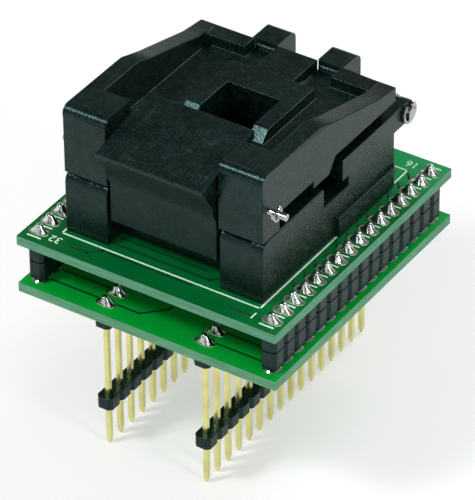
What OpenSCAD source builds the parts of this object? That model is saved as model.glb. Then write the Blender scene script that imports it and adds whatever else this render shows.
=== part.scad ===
// Clamshell zero-force socket on a two-board adapter with dual-in-line pins.
// Millimetres, +Z up, front (the latch) towards -Y, pin tips on z = 0.

/* [Boards] */
// Distance from a joining row to the board's side edge
board_edge = 1.92; // [1.4:0.02:4]
// Distance from a row's end to the board's front or rear edge
board_end = 1.08; // [0.2:0.02:4]
// Thickness of each board
board_thickness = 1.4; // [1:0.1:2.4]
// Clear height between the two boards
board_gap = 6; // [5.6:0.1:9]
// Diameter of the drilled pin holes
board_drill = 1; // [0.94:0.02:1.2]

/* [Pin rows] */
// Distance from one pin to the next in a row
pitch = 2.54; // [2.3:0.01:2.54]
// Pins in each row
row_count = 16; // [10:1:16]
// Width of a square pin
pin_square = 0.64; // [0.5:0.02:0.66]
// Distance between the two rows that plug into a board
dip_spacing = 15.24; // [14:0.01:18]
// Distance from the socket's skirt to the rows that join the boards
join_gap = 2.28; // [1.3:0.02:4]
// Height of the lower board's underside above the pin tips
pin_drop = 21.4; // [16:0.1:24]
// Length of the taper at a pin tip
pin_taper = 0.9; // [0.4:0.1:1.5]
// Width of the blunt end of a pin tip
pin_blunt = 0.3; // [0.1:0.05:0.4]
// How far a pin stands out of a board
pin_proud = 1; // [0.6:0.1:1.3]

/* [Pin strips] */
// Width of the moulded strips
strip_width = 2.4; // [2:0.1:2.8]
// Depth of the V between two cells of a strip
cell_notch = 0.45; // [0.2:0.05:0.6]
// Length of each side of that V
cell_bevel = 0.5; // [0.2:0.05:0.7]
// Gap between the lower joining strip and its board
strip_lift = 0.6; // [0.5:0.05:0.9]
// Seam between the two joining strips
strip_seam = 0.15; // [0.05:0.05:0.4]
// Height of the insulator under the lower board
collar_height = 1.9; // [1.4:0.1:2.6]
// Height of the insulator half way down the pins
spacer_height = 1.8; // [1.4:0.1:2.6]
// Height of that insulator above the pin tips
spacer_lift = 6.3; // [4:0.1:9]

/* [Solder] */
// Radius of a pin's solder joint on the board
solder_radius = 1.02; // [0.8:0.02:1.15]
// Radius of a solder joint where it leaves the pin
solder_neck = 0.5; // [0.48:0.01:0.6]
// Height of a solder joint
solder_height = 1.35; // [1.32:0.01:1.8]
// Radius of the solder foot under a joining strip
foot_radius = 1.2; // [1:0.05:1.25]
// Radius of a contact tail's solder joint
tail_solder = 0.6; // [0.5:0.02:0.62]

/* [Socket base] */
// Width of the socket base and of the lid
socket_width = 30; // [29:0.1:31]
// Distance of the socket's front face from the centre
socket_front = 16.9; // [16.6:0.1:17.4]
// Distance of the base's rear face from the centre
base_rear = 14.5; // [14.4:0.1:14.8]
// Thickness of the side walls
side_wall = 1.9; // [1.5:0.1:2.2]
// Thickness of the front wall behind the latch
front_wall = 1.3; // [1:0.1:1.4]
// Thickness of the rear wall
rear_wall = 1.5; // [1.2:0.1:2]
// Depth of the space for the latch between the posts
latch_bay = 3.3; // [3.2:0.1:3.5]
// Height of the trough floor above the board
trough_height = 6.1; // [5:0.1:6.2]
// Height of the front posts
post_height = 9; // [8.8:0.1:9.1]
// Radius of the front posts' top edge
post_round = 1.5; // [0.5:0.1:2]
// Height of the side walls' front half
side_height = 9.1; // [8.6:0.1:9.2]
// Height of the side walls' rear half
rear_height = 10.95; // [10.6:0.05:11]
// Front end of the gap in the side walls
notch_front = 2.5; // [2:0.1:4]
// Rear end of the gap in the side walls
notch_rear = 1.9; // [1:0.1:3]
// Height of the gap's floor
notch_floor = 6.2; // [5.8:0.1:6.6]
// Depth of the undercut behind the gap
undercut_depth = 1.6; // [0.8:0.1:2]
// Height of the undercut
undercut_height = 1.5; // [1:0.1:2]
// Width of the skirt along the board outside the side walls
skirt_width = 0.5; // [0.3:0.05:0.8]
// Height of the skirt
skirt_height = 3; // [2:0.1:4]
// Front end of the skirt
skirt_start = 0.4; // [0:0.1:3]
// Radius of the skirt's rear corner
skirt_round = 1.5; // [0.6:0.1:2]
// Diameter of the two locating pegs
peg_diameter = 1.6; // [1.2:0.1:2]
// Distance between the pegs along the diagonal's width
peg_span = 24; // [22:0.5:25]
// Thickness of the ledge that the latch hooks under
ledge_height = 1.4; // [1:0.1:1.6]
// Height of the ledge's underside above the board
ledge_lift = 6; // [5.6:0.1:6.4]
// How far the ledge stands out of the front wall
ledge_depth = 1.4; // [1:0.1:1.5]

/* [Chip seat and contacts] */
// Chip size over its leads, left to right
chip_width = 12.45; // [12.3:0.01:12.6]
// Chip size over its leads, front to back
chip_depth = 14.99; // [14.8:0.01:15.2]
// Clearance round the chip
chip_slack = 0.1; // [0.05:0.01:0.2]
// Height of the chip from its lead bends to its top
chip_height = 3.4; // [3.2:0.05:3.6]
// Height of the chip seat above the board
seat_height = 6.8; // [6.5:0.1:7.2]
// Height of the contact block
block_height = 9.8; // [9.2:0.1:10]
// Width of the contact block
block_width = 20.4; // [20.2:0.1:21]
// Depth of the contact block
block_depth = 23; // [22.8:0.1:23.6]
// Distance from one contact to the next
lead_pitch = 1.27; // [1.2:0.01:1.27]
// Contacts along the front and the rear edge
short_count = 7; // [5:2:7]
// Contacts along the left and the right edge
long_count = 9; // [5:2:9]
// Width of a contact
contact_width = 0.42; // [0.3:0.02:0.46]
// Thickness of the contact sheet
contact_sheet = 0.3; // [0.2:0.05:0.35]
// Distance of the near contact row outside the chip
near_row = 1.2; // [1.1:0.05:1.3]
// Distance of the far tail row outside the chip
far_row = 3.2; // [3:0.05:3.25]

/* [Lid] */
// Height of the lid's top edge above the board
lid_height = 19.2; // [18.8:0.1:19.6]
// Height of the lid's deck
deck_height = 14.87; // [14.6:0.01:15]
// Height of the recess floor
recess_height = 13.3; // [12.8:0.1:13.6]
// Distance of the lid's rear edge from the centre
lid_rear = 14.85; // [14.7:0.05:15]
// Thickness of the side rails
rail_width = 2.5; // [2:0.1:2.8]
// Depth of the front arms
arm_depth = 5.9; // [5.6:0.1:6.4]
// Depth of the legs below the front arms
leg_depth = 4; // [3.6:0.1:4.4]
// Radius of the lid's front top edge
lid_round = 1.2; // [0.5:0.1:2]
// Gap between the lid and the base when shut
lid_gap = 0.1; // [0.05:0.05:0.2]
// Width of the window over the chip
window_width = 8; // [6:0.1:8.4]
// Depth of the window over the chip
window_depth = 8.4; // [6:0.1:8.6]
// Width of the raised centre plate
plate_width = 12.7; // [12:0.1:13.4]
// Rear end of the raised centre plate
plate_rear = 9; // [8:0.1:10]
// Width of the neck behind the plate
neck_width = 6.1; // [5:0.1:6.2]
// Depth of the raised rear bar
rear_bar = 2.55; // [2:0.05:3]
// Clearance of the chip pusher round its edges
pusher_slack = 0.3; // [0.2:0.05:0.4]
// Inner side of each hinge arm from the centre
knuckle_inner = 3.1; // [2:0.1:3.2]
// Width of each hinge arm
knuckle_width = 3.8; // [3:0.1:3.9]
// Radius of the hinge arm's end
knuckle_radius = 1.4; // [1.3:0.05:1.6]

/* [Hinge] */
// Distance of the hinge axis behind the centre
hinge_back = 17.9; // [17.8:0.1:18.4]
// Height of the hinge axis above the board
hinge_height = 9.3; // [9.1:0.05:9.3]
// Radius of the hinge pin
hinge_radius = 0.75; // [0.6:0.05:0.8]
// Running clearance of a hinge
running_fit = 0.05; // [0.03:0.01:0.08]
// Radius of the ears' round ends
ear_radius = 1.65; // [1.6:0.05:1.65]
// Thickness of the ears
ear_width = 1.5; // [1.2:0.1:1.6]
// Inset of the ears from the side faces
ear_inset = 0.1; // [0:0.05:0.2]
// How far the pin stands out past an ear's clip
pin_end = 0.25; // [0.2:0.05:0.6]
// Thickness of the clips
clip_thickness = 0.4; // [0.3:0.05:0.5]
// Outer radius of the hinge clips
clip_radius = 1.6; // [1.4:0.05:1.8]
// Depth of the clip grooves
groove_depth = 0.15; // [0.1:0.01:0.2]
// Mean radius of the hinge springs
spring_radius = 1.59; // [1.4:0.01:1.6]
// Wire of the hinge springs
spring_wire = 0.42; // [0.3:0.01:0.46]
// Gap between a spring and the parts beside it
spring_gap = 0.2; // [0.1:0.05:0.4]

/* [Latch] */
// Width of the latch
latch_width = 16.1; // [15.6:0.1:16.3]
// Gap beside the latch between the lid's arms
latch_gap = 0.4; // [0.3:0.05:0.5]
// Distance of the pivot behind the socket's front face
pivot_inset = 1.1; // [1:0.05:1.3]
// Height of the pivot above the board
pivot_height = 13.9; // [13.7:0.05:14.2]
// Radius of the latch pin
latch_pin_radius = 0.5; // [0.4:0.05:0.6]
// How far the finger plate's lip stands out in front
lip_reach = 3; // [2.4:0.1:3.2]
// Height of the lip's top edge above the board
lip_height = 16.3; // [16.1:0.1:16.6]
// Height of the finger plate's rear edge
plate_top = 18.8; // [18.4:0.1:19]
// Length of the finger plate
plate_length = 12.05; // [11:0.05:12.4]
// Thickness of the finger plate
plate_thick = 1.2; // [1:0.1:1.4]
// Height of the latch's lower edge
latch_bottom = 4.1; // [3.8:0.1:4.4]
// Clearance between the hook and its ledge
hook_gap = 0.3; // [0.2:0.05:0.4]
// Reach of the hook under its ledge
hook_reach = 1.2; // [1:0.05:1.3]
// How far the latch pin stands out on the right
pin_reach = 2.85; // [2.4:0.05:3.2]
// How far the latch pin's head stands out on the left
head_reach = 0.4; // [0.3:0.05:0.8]
// Distance of the latch clip from the lid's side
clip_offset = 1.2; // [0.6:0.1:1.6]
// Outer radius of the latch clip
latch_clip_radius = 1.05; // [0.9:0.05:1.4]
// Mean radius of the latch spring
return_radius = 0.95; // [0.85:0.05:1]
// Wire of the latch spring
return_wire = 0.3; // [0.2:0.02:0.32]
// Length of the latch spring along the pin
return_length = 3.6; // [2.4:0.1:4.5]

/* [Hidden] */
$fn = 48;
cut = 0.5;
near_zero = 0.01;
lower_bottom = pin_drop;
lower_top = lower_bottom + board_thickness;
upper_bottom = lower_top + board_gap;
upper_top = upper_bottom + board_thickness;
strip_height = (board_gap - strip_lift - strip_seam) / 2;
row_length = row_count * pitch;
join_spacing = socket_width + 2 * (skirt_width + join_gap);
board_width = join_spacing + 2 * board_edge;
board_depth = row_length + 2 * board_end;
solder_cap = 0.25;
solder_steps = 3;
cap_steps = 2;
solder_curve = 2.2;

half = socket_width / 2;
front = -socket_front;
wall_inner = half - side_wall;
mid_front = front + latch_bay;
trough_z = upper_top + trough_height;
post_z = upper_top + post_height;
side_z = upper_top + side_height;
rear_z = upper_top + rear_height;
notch_z = upper_top + notch_floor;
seat_z = upper_top + seat_height;
block_z = upper_top + block_height;
hinge_z = upper_top + hinge_height;
ledge_z = upper_top + ledge_lift;
pocket = [chip_width / 2 + chip_slack, chip_depth / 2 + chip_slack];
block = [block_width, block_depth];

latch_half = latch_width / 2;
gap_half = latch_half + latch_gap;
post_inner = gap_half + lid_gap;
lid_inner = half - rail_width;
lid_under = hinge_z + spring_radius + spring_wire / 2;
recess_z = upper_top + recess_height;
deck_z = upper_top + deck_height;
lid_z = upper_top + lid_height;
arm_rear = front + arm_depth;
leg_rear = front + leg_depth;
leg_z = side_z + lid_gap;
leg_step = 2.6;
tongue_front = 5;
tongue_drop = 1.1;
tongue_rear = 1.3;
tongue_run = 1.5;
rail_lift = 0.9;
rail_knee = 3.5;
rail_crest = 1.1;
rail_slope = 3.8;
rail_slope_run = 14;
window_shift = 0.2;
window_front = window_shift - window_depth / 2;
plate_front = -1.9;
cross_lift = 0.6;

pivot_y = front + pivot_inset;
pivot_z = upper_top + pivot_height;
lip_y = front - lip_reach;
lip_z = upper_top + lip_height;
lip_edge = 0.5;
plate_y = lip_y + plate_length;
plate_z = upper_top + plate_top;
barrel = 1.6;
web_share = 0.9;
latch_back = mid_front - ledge_depth - 0.2;
latch_z = upper_top + latch_bottom;
hook_z = ledge_z - hook_gap;
hook_blunt = 0.4;
brow_y = front - 0.6;
brow_high = 1.5;
brow_low = 2.8;
shin_y = front + 0.1;
shin_drop = 3.8;
spring_bay = 1.45;
leg_clear = 0.35;

// Sub-part to build

// ---- helpers ----

// Box from one corner to the opposite one.
module box(low, high) {
    translate(low) cube(high - low);
}

// Extrudes a (y, z) outline from x0 to x1.
module yz_slab(x0, x1) {
    translate([x0, 0, 0]) rotate([90, 0, 90]) linear_extrude(x1 - x0) children();
}

// The same piece on the right and, mirrored, on the left.
module both_sides() {
    children();
    mirror([1, 0, 0]) children();
}

// What is cut away to round the corner `at`; the material lies `toward`.
module corner_cut(at, toward, radius) {
    translate(at) difference() {
        translate([min(toward[0] * radius, -toward[0] * cut),
                   min(toward[1] * radius, -toward[1] * cut)])
            square(radius + cut);
        translate(toward * radius) circle(radius);
    }
}

// Centre of a pin along its row.
function row_y(i) = (i - (row_count - 1) / 2) * pitch;

// Puts the child on every pin of the row at x.
module along_row(x) {
    for (i = [0:row_count - 1]) translate([x, row_y(i), 0]) children();
}

// Square bar on its axis between two heights.
module square_bar(low, high, width = pin_square) {
    translate([-width / 2, -width / 2, low]) cube([width, width, high - low]);
}

// One side of the notched outline of a moulded strip.
function cell_side(side) = [for (i = [0:row_count - 1])
    let (start = (i - row_count / 2) * pitch)
    each [[side * (strip_width / 2 - cell_notch), start],
          [side * strip_width / 2, start + cell_bevel],
          [side * strip_width / 2, start + pitch - cell_bevel]]];

function reversed(list) = [for (i = [len(list) - 1:-1:0]) list[i]];

// Moulded strip of cells with a square hole for each pin.
module strip(x, low, high) {
    flat = strip_width / 2 - cell_notch;
    difference() {
        translate([x, 0, low]) linear_extrude(high - low)
            polygon(concat(cell_side(1), [[flat, row_length / 2], [-flat, row_length / 2]],
                           reversed(cell_side(-1))));
        along_row(x) square_bar(low - cut, high + cut);
    }
}

// Outline of a solder joint: a flared foot, a neck and a rounded end.
function joint_outline(radius, neck, height) = concat(
    [for (k = [0:solder_steps])
        [neck + (radius - neck) * pow(1 - k / solder_steps, solder_curve),
         (height - solder_cap) * k / solder_steps]],
    [for (k = [1:cap_steps]) let (angle = 90 * k / cap_steps)
        [neck * cos(angle), height - solder_cap * (1 - sin(angle))]],
    [[0, 0]]);

// Solder joint standing on a board.
module joint(radius = solder_radius, neck = solder_neck, height = solder_height) {
    rotate_extrude() polygon(joint_outline(radius, neck, height));
}

// Drilled hole through a board.
module drill(low, diameter) {
    translate([0, 0, low - cut]) cylinder(d = diameter, h = board_thickness + 2 * cut);
}

// Bare board.
module board(low) {
    translate([-board_width / 2, -board_depth / 2, low])
        cube([board_width, board_depth, board_thickness]);
}

// ---- boards ----

module lower_board() color("#158a3c") difference() {
    board(lower_bottom);
    for (x = [-1, 1] * dip_spacing / 2) along_row(x) drill(lower_bottom, board_drill);
    for (x = [-1, 1] * join_spacing / 2) along_row(x) drill(lower_bottom, board_drill);
}

module upper_board() color("#0d6b3f") difference() {
    board(upper_bottom);
    for (x = [-1, 1] * join_spacing / 2) along_row(x) drill(upper_bottom, board_drill);
    each_contact("front") tail_hole($far);
    each_contact("rear") tail_hole($far);
    each_contact("left") tail_hole($far);
    each_contact("right") tail_hole($far);
    pegs(cut);
}

// ---- joining strips, pins and solder ----

module lower_strip(side) {
    color("#1c1e1e") strip(side * join_spacing / 2, lower_top + strip_lift,
                           lower_top + strip_lift + strip_height);
}
module lower_strip_left() lower_strip(-1);
module lower_strip_right() lower_strip(1);

module upper_strip(side) {
    color("#1c1e1e") strip(side * join_spacing / 2, upper_bottom - strip_height, upper_bottom);
}
module upper_strip_left() upper_strip(-1);
module upper_strip_right() upper_strip(1);

module board_pins(side) {
    color("#d9cf8c") along_row(side * join_spacing / 2)
        square_bar(lower_bottom - pin_proud, upper_top + pin_proud);
}
module board_pins_left() board_pins(-1);
module board_pins_right() board_pins(1);

module upper_solder(side) {
    color("#c8ccd0") along_row(side * join_spacing / 2) difference() {
        translate([0, 0, upper_top]) joint();
        square_bar(upper_top - cut, upper_top + pin_proud);
    }
}
module upper_solder_left() upper_solder(-1);
module upper_solder_right() upper_solder(1);

// Foot between board and strip, and the joint under the board.
module lower_solder(side) {
    color("#c8ccd0") along_row(side * join_spacing / 2) difference() {
        union() {
            translate([0, 0, lower_top])
                cylinder(r1 = foot_radius, r2 = solder_neck, h = strip_lift);
            translate([0, 0, lower_bottom]) mirror([0, 0, 1]) joint();
        }
        square_bar(lower_bottom - pin_proud, lower_top + strip_lift + cut);
    }
}
module lower_solder_left() lower_solder(-1);
module lower_solder_right() lower_solder(1);

// ---- plug pins ----

module dip_pins(side) {
    color("#d9cf8c") along_row(side * dip_spacing / 2) {
        rotate(45) cylinder(d1 = pin_blunt * sqrt(2), d2 = pin_square * sqrt(2),
                            h = pin_taper, $fn = 4);
        square_bar(pin_taper, lower_top + pin_proud);
    }
}
module dip_pins_left() dip_pins(-1);
module dip_pins_right() dip_pins(1);

module dip_collar(side) {
    color("#1c1e1e") strip(side * dip_spacing / 2, lower_bottom - collar_height, lower_bottom);
}
module dip_collar_left() dip_collar(-1);
module dip_collar_right() dip_collar(1);

module dip_spacer(side) {
    color("#1c1e1e") strip(side * dip_spacing / 2, spacer_lift, spacer_lift + spacer_height);
}
module dip_spacer_left() dip_spacer(-1);
module dip_spacer_right() dip_spacer(1);

module dip_solder(side) {
    color("#c8ccd0") along_row(side * dip_spacing / 2) difference() {
        translate([0, 0, lower_top]) joint();
        square_bar(lower_top - cut, lower_top + pin_proud);
    }
}
module dip_solder_left() dip_solder(-1);
module dip_solder_right() dip_solder(1);

// ---- contacts ----

// Turn, chip half size and count for each edge of the chip.
function edge_turn(edge) = edge == "right" ? 0 : edge == "rear" ? 90 : edge == "left" ? 180 : 270;
function edge_half(edge) = edge == "left" || edge == "right" ? pocket[0] : pocket[1];
function edge_count(edge) = edge == "left" || edge == "right" ? long_count : short_count;

// Puts the child at each contact of an edge, with +X pointing away from the chip.
module each_contact(edge) {
    count = edge_count(edge);
    rotate(edge_turn(edge)) for (i = [0:count - 1])
        let ($far = i % 2 == 1, $reach = edge_half(edge))
        translate([0, (i - (count - 1) / 2) * lead_pitch, 0]) children();
}

function tail_x(far) = $reach + (far ? far_row : near_row);

module tail_hole(far) {
    translate([tail_x(far), 0, 0])
        drill(upper_bottom, 2 * contact_sheet + near_zero * 10);
}

contact_tip = 0.75;
contact_arm = 1.5;
foot_rise = 0.9;
tail_proud = 0.8;

// Bent sheet contact: nose, arm, stem, and a tail through the board.
module contact_shape(far, width) {
    sheet = contact_sheet;
    stem = $reach + near_row - sheet / 2;
    nose = $reach - contact_tip;
    arm_z = seat_z - contact_arm;
    foot_z = upper_top + foot_rise;
    tail = tail_x(far) - sheet / 2;
    tail_z = upper_bottom - tail_proud;
    w = width / 2;
    box([nose, -w, arm_z], [nose + sheet, w, seat_z]);
    box([nose, -w, arm_z], [stem + sheet, w, arm_z + sheet]);
    box([stem, -w, far ? foot_z : tail_z], [stem + sheet, w, arm_z + sheet]);
    if (far) {
        box([stem, -w, foot_z], [tail + sheet, w, foot_z + sheet]);
        box([tail, -w, tail_z], [tail + sheet, w, foot_z + sheet]);
    }
}

// Room for a contact in the base: a snug slot for stem and tail, a free one for the arm.
module contact_slot(far) {
    sheet = contact_sheet;
    stem = $reach + near_row - sheet / 2;
    arm_z = seat_z - contact_arm;
    w = contact_width / 2;
    free = w + chip_slack;
    box([stem, -w, upper_top - cut], [stem + sheet, w, arm_z]);
    if (far) box([stem, -w, upper_top - cut],
                 [tail_x(far) + sheet / 2, w, upper_top + foot_rise + sheet]);
    box([$reach - contact_tip - chip_slack, -free, arm_z],
        [stem + sheet + chip_slack, free, block_z + cut]);
}

module contacts(edge) {
    color("#d8c070") each_contact(edge) contact_shape($far, contact_width);
}
module contacts_front() contacts("front");
module contacts_rear() contacts("rear");
module contacts_left() contacts("left");
module contacts_right() contacts("right");

module tail_joint(far) {
    tail = tail_x(far);
    difference() {
        translate([tail, 0, upper_bottom]) mirror([0, 0, 1])
            cylinder(r1 = tail_solder, r2 = contact_sheet, h = tail_proud);
        box([tail - contact_sheet / 2, -contact_width / 2, upper_bottom - tail_proud - cut],
            [tail + contact_sheet / 2, contact_width / 2, upper_bottom + cut]);
    }
}

module socket_solder() color("#c8ccd0") {
    each_contact("front") tail_joint($far);
    each_contact("rear") tail_joint($far);
    each_contact("left") tail_joint($far);
    each_contact("right") tail_joint($far);
}

// ---- socket base ----

// Two locating pegs on a diagonal, from below the base down by `extra` past the board.
module pegs(extra) {
    for (s = [-1, 1]) translate([s * peg_span / 2, s * peg_span / 2, upper_bottom - extra])
        cylinder(d = peg_diameter, h = board_thickness + extra + cut);
}

module base_side_outline() difference() {
    polygon([[front, upper_top], [front, side_z], [-notch_front, side_z],
             [-notch_front, notch_z], [notch_rear + undercut_depth, notch_z],
             [notch_rear + undercut_depth, notch_z + undercut_height],
             [notch_rear, notch_z + undercut_height], [notch_rear, rear_z],
             [base_rear, rear_z], [base_rear, upper_top]]);
    corner_cut([front, side_z], [1, -1], post_round);
}

module ear_outline() difference() {
    union() {
        translate([base_rear - cut, hinge_z - ear_radius])
            square([hinge_back - base_rear + cut, 2 * ear_radius]);
        translate([hinge_back, hinge_z]) circle(ear_radius);
    }
    translate([hinge_back, hinge_z]) circle(hinge_radius);
}

module post_outline() difference() {
    translate([front, upper_top]) square([latch_bay + cut, post_height]);
    corner_cut([front, post_z], [1, -1], post_round);
}

// Skirt along the board on one side.
module skirt() {
    translate([0, 0, upper_top]) linear_extrude(skirt_height) difference() {
        translate([wall_inner, skirt_start])
            square([side_wall + skirt_width, base_rear + skirt_width - skirt_start]);
        corner_cut([half + skirt_width, base_rear + skirt_width], [-1, -1], skirt_round);
        translate([wall_inner - cut, base_rear]) square([cut, skirt_width + cut]);
    }
}

module ledge_outline() {
    y = mid_front;
    polygon([[y + cut, ledge_z], [y - ledge_depth, ledge_z],
             [y - ledge_depth, ledge_z + ledge_height / 2], [y, ledge_z + ledge_height],
             [y + cut, ledge_z + ledge_height]]);
}

module socket_base() color("#2e3234") difference() {
    union() {
        box([-wall_inner - cut, mid_front, upper_top], [wall_inner + cut, base_rear, trough_z]);
        box([-wall_inner - cut, mid_front, upper_top],
            [wall_inner + cut, mid_front + front_wall, post_z]);
        box([-wall_inner - cut, base_rear - rear_wall, upper_top],
            [wall_inner + cut, base_rear, block_z]);
        translate([-block[0] / 2, -block[1] / 2, upper_top])
            cube([block[0], block[1], block_height]);
        both_sides() {
            yz_slab(wall_inner, half) base_side_outline();
            yz_slab(post_inner, half) post_outline();
            yz_slab(half - ear_inset - ear_width, half - ear_inset) ear_outline();
            skirt();
        }
        yz_slab(-latch_half, latch_half) ledge_outline();
        pegs(0);
    }
    box([-pocket[0], -pocket[1], seat_z], [pocket[0], pocket[1], block_z + cut]);
    each_contact("front") contact_slot($far);
    each_contact("rear") contact_slot($far);
    each_contact("left") contact_slot($far);
    each_contact("right") contact_slot($far);
}

// ---- hinge ----

clip_x = half - ear_inset + lid_gap;
pin_half = clip_x + clip_thickness + pin_end;

// Cylinder along X about an axis at (y, z).
module x_rod(x0, x1, y, z, radius) {
    translate([x0, y, z]) rotate([0, 90, 0]) cylinder(r = radius, h = x1 - x0);
}

module hinge_pin() color("#b8bcc0") difference() {
    x_rod(-pin_half, pin_half, hinge_back, hinge_z, hinge_radius);
    both_sides() difference() {
        x_rod(clip_x, clip_x + clip_thickness, hinge_back, hinge_z, hinge_radius + cut);
        x_rod(clip_x - cut, clip_x + clip_thickness + cut, hinge_back, hinge_z,
              hinge_radius - groove_depth);
    }
}

// Open retaining ring in a pin's groove, with its mouth upwards.
module retaining_ring(x, y, z, outer, inner) {
    difference() {
        x_rod(x, x + clip_thickness, y, z, outer);
        x_rod(x - cut, x + clip_thickness + cut, y, z, inner);
        box([x - cut, y - inner * sin(60), z], [x + clip_thickness + cut, y + inner * sin(60), z + outer + cut]);
    }
}

module hinge_clips() color("#b8bcc0") both_sides()
    retaining_ring(clip_x, hinge_back, hinge_z, clip_radius, hinge_radius - groove_depth);

coil_start = knuckle_inner + knuckle_width + spring_gap;
coil_end = half - ear_inset - ear_width - spring_gap;
coil_lap = 0.96;
leg_share = 0.96;
coil_turns = floor((coil_end - coil_start - spring_wire) / (spring_wire * coil_lap));

// Close-wound torsion spring on the hinge pin, one leg on the base and one on the lid.
module hinge_spring() color("#c8ccd0") {
    step = spring_wire * coil_lap;
    first = coil_start + spring_wire / 2;
    last = first + coil_turns * step;
    translate([0, hinge_back, hinge_z]) rotate([0, 90, 0]) rotate_extrude()
        for (k = [0:coil_turns]) translate([spring_radius, first + k * step])
            circle(d = spring_wire, $fn = 16);
    leg(last, hinge_z - spring_radius, base_rear);
    leg(first, hinge_z + spring_radius, base_rear - rear_wall);
}

// Spring leg running forward from the coil to y.
module leg(x, z, y) {
    translate([x, y, z]) rotate([-90, 0, 0])
        cylinder(d = spring_wire * leg_share, h = hinge_back - y, $fn = 16);
}
module hinge_spring_right() hinge_spring();
module hinge_spring_left() mirror([1, 0, 0]) hinge_spring();

// ---- lid ----

module rail_outline() difference() {
    polygon([[front, leg_z], [leg_rear, leg_z], [leg_rear, leg_z + leg_step],
             [-tongue_front, leg_z + leg_step], [-tongue_front, leg_z + leg_step - tongue_drop],
             [-tongue_rear, leg_z + leg_step - tongue_drop],
             [tongue_run - tongue_rear, leg_z + leg_step + rail_lift],
             [lid_rear, leg_z + leg_step + rail_lift], [lid_rear, deck_z],
             [rail_slope_run - rail_knee, lid_z - rail_slope],
             [0, lid_z - rail_crest], [-rail_knee, lid_z], [front, lid_z]]);
    corner_cut([front, lid_z], [1, -1], lid_round);
}

module arm_outline() difference() {
    polygon([[front, leg_z], [leg_rear, leg_z], [leg_rear, leg_z + leg_step],
             [arm_rear, leg_z + leg_step], [arm_rear, lid_z], [front, lid_z]]);
    corner_cut([front, lid_z], [1, -1], lid_round);
}

module knuckle_outline() difference() {
    union() {
        translate([lid_rear, recess_z - rail_lift])
            square([hinge_back + knuckle_radius - lid_rear, deck_z - recess_z + rail_lift]);
        translate([lid_rear - cut, lid_under])
            square([hinge_back - lid_rear + cut, recess_z - lid_under]);
        translate([hinge_back - knuckle_radius, hinge_z])
            square([2 * knuckle_radius, deck_z - hinge_z - lid_round]);
        translate([hinge_back, hinge_z]) circle(knuckle_radius);
    }
    corner_cut([hinge_back + knuckle_radius, deck_z], [-1, -1], lid_round);
    translate([hinge_back, hinge_z]) circle(hinge_radius + running_fit);
}

// Sloping front end of the raised strips beside the window.
module ramp_outline() {
    rise = deck_z - recess_z;
    polygon([[plate_front - rise, recess_z - cut], [plate_front - rise, recess_z],
             [plate_front, deck_z], [plate_front + cut, deck_z], [plate_front + cut, recess_z - cut]]);
}

module lid() color("#2e3234") difference() {
    union() {
        box([-lid_inner - cut, arm_rear - cut, lid_under], [lid_inner + cut, lid_rear, recess_z]);
        box([-gap_half - cut, leg_rear, lid_under], [gap_half + cut, arm_rear, recess_z + cross_lift]);
        box([-plate_width / 2, plate_front, lid_under], [plate_width / 2, plate_rear, deck_z]);
        box([-neck_width / 2, plate_front, lid_under], [neck_width / 2, lid_rear, deck_z]);
        box([-pocket[0] + pusher_slack, -pocket[1] + pusher_slack, seat_z + chip_height],
            [pocket[0] - pusher_slack, pocket[1] - pusher_slack, recess_z]);
        both_sides() {
            yz_slab(lid_inner, half) rail_outline();
            yz_slab(gap_half, half) arm_outline();
            yz_slab(knuckle_inner, knuckle_inner + knuckle_width) knuckle_outline();
            yz_slab(window_width / 2, plate_width / 2) ramp_outline();
            box([knuckle_inner + knuckle_width - pusher_slack, lid_rear - rear_bar, lid_under],
                [lid_inner + cut, lid_rear, deck_z]);
        }
    }
    box([-window_width / 2, window_front, hinge_z],
        [window_width / 2, window_front + window_depth, deck_z + cut]);
    x_rod(-half - cut, half + cut, pivot_y, pivot_z, latch_pin_radius);
}

// ---- latch ----

latch_slope = (plate_z - lip_z) / plate_length;

module latch_outline() {
    under = plate_thick * sqrt(1 + latch_slope * latch_slope);
    back = pivot_y + barrel * web_share;
    polygon([[lip_y, lip_z - lip_edge], [lip_y, lip_z], [plate_y, plate_z],
             [plate_y, plate_z - under],
             [back, plate_z - under - latch_slope * (plate_y - back)],
             [back, pivot_z - barrel / 2], [latch_back, pivot_z - barrel * 1.3],
             [latch_back, hook_z], [latch_back + hook_reach, hook_z],
             [latch_back + hook_reach, hook_z - hook_blunt], [latch_back, latch_z],
             [shin_y, latch_z], [shin_y, pivot_z - shin_drop],
             [brow_y, pivot_z - brow_low], [brow_y, pivot_z - brow_high]]);
}

module latch() color("#2e3234") difference() {
    union() {
        yz_slab(-latch_half, latch_half) latch_outline();
        x_rod(-latch_half, latch_half, pivot_y, pivot_z, barrel);
    }
    x_rod(-latch_half - cut, latch_half + cut, pivot_y, pivot_z, latch_pin_radius + running_fit);
    bay = return_length / 2 + spring_gap;
    x_rod(-bay, bay, pivot_y, pivot_z, spring_bay);
    box([-bay, pivot_y, pivot_z - spring_bay],
        [bay, pivot_y + barrel + cut, pivot_z + spring_bay + leg_clear]);
}

module latch_pin() color("#b8bcc0") difference() {
    union() {
        x_rod(-half - head_reach, half + pin_reach, pivot_y, pivot_z, latch_pin_radius);
        x_rod(-half - head_reach, -half, pivot_y, pivot_z, latch_pin_radius + groove_depth);
    }
    difference() {
        x_rod(half + clip_offset, half + clip_offset + clip_thickness, pivot_y, pivot_z,
              latch_pin_radius + cut);
        x_rod(half, half + pin_reach, pivot_y, pivot_z, latch_pin_radius - groove_depth);
    }
}

module latch_clip() color("#b8bcc0")
    retaining_ring(half + clip_offset, pivot_y, pivot_z, latch_clip_radius,
                   latch_pin_radius - groove_depth);

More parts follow.
